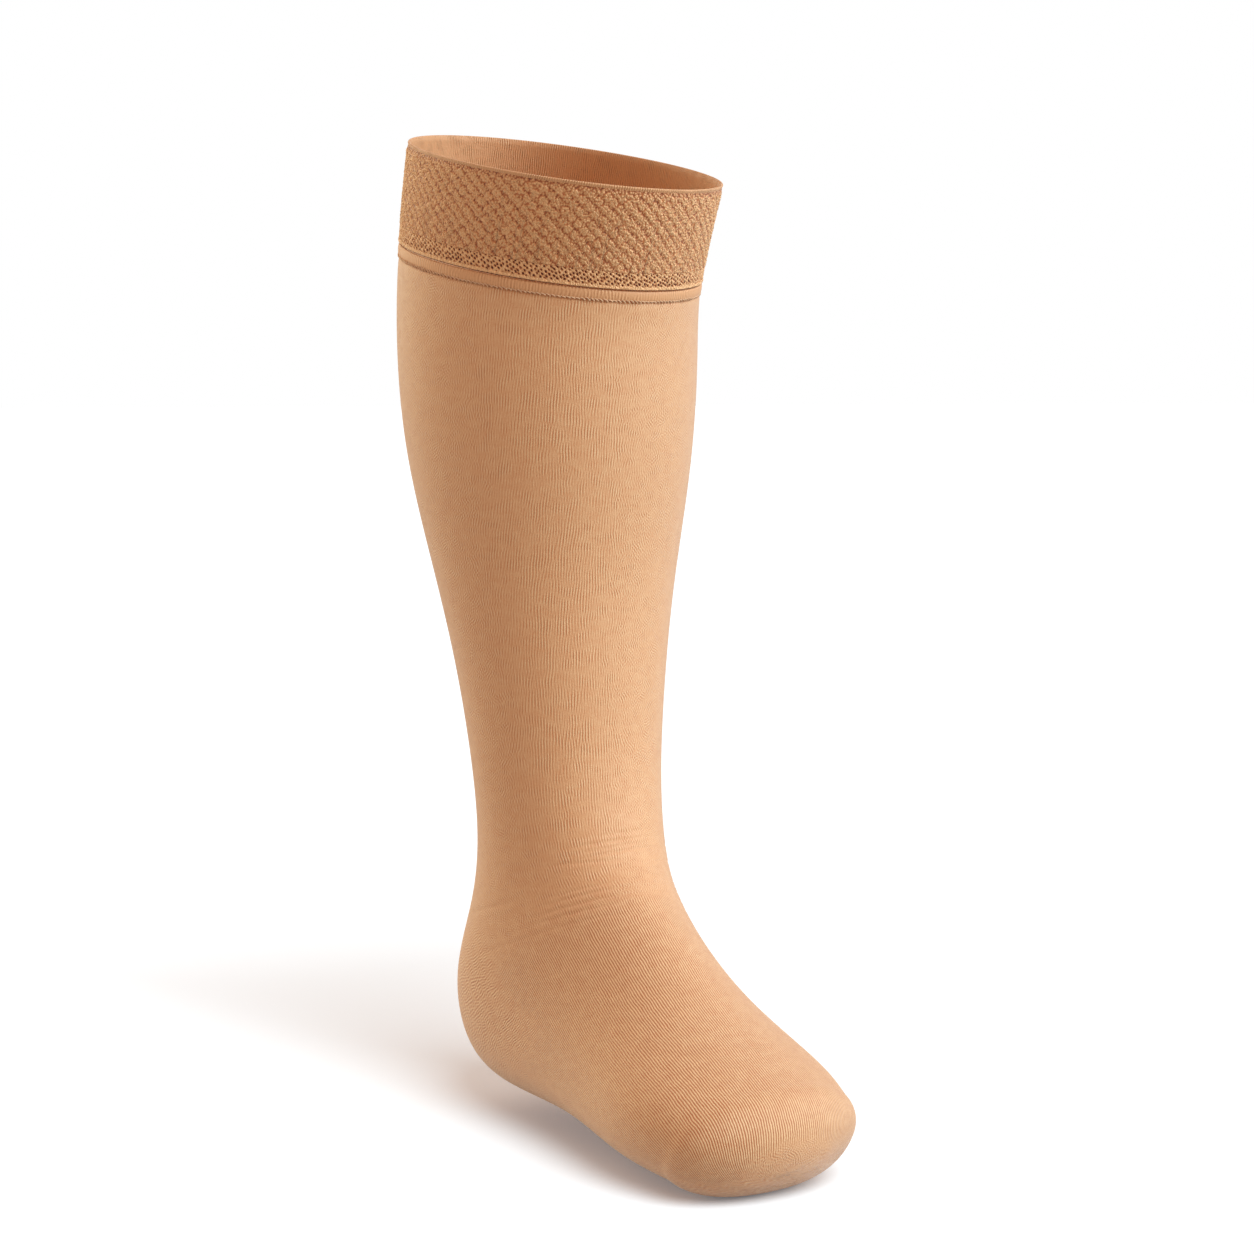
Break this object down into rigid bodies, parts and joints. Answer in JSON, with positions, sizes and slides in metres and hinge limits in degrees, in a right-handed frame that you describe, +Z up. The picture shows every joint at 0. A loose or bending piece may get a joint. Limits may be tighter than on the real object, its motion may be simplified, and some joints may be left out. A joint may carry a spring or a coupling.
{
  "type": "knee-high compression stocking",
  "caption": "Knee-high compression stocking, hollow as worn: a finely ribbed leg and closed-toe foot, a smooth joining strip and a textured elastic top band.",
  "frame": {"origin": "middle of the top band, on the line down the middle of the leg, where the band grips the leg that holds the stocking up", "axes": "+Z up along the leg towards the knee, -Y towards the toes, +X across the leg, to the left of the wearer"},
  "size_m": [0.126, 0.2465, 0.4257],
  "materials": {
    "leg_knit": "matte fine vertical rib, nylon and elastane",
    "strip_knit": "matte plain knit, doubled and slightly crowned",
    "band_knit": "matte raised lattice of knitted bumps with open holes between"
  },
  "bodies": {
    "root": {"leg_and_foot": "leg_knit", "joining_strip": "strip_knit", "top_band": "band_knit"}
  },
  "joints": []
}
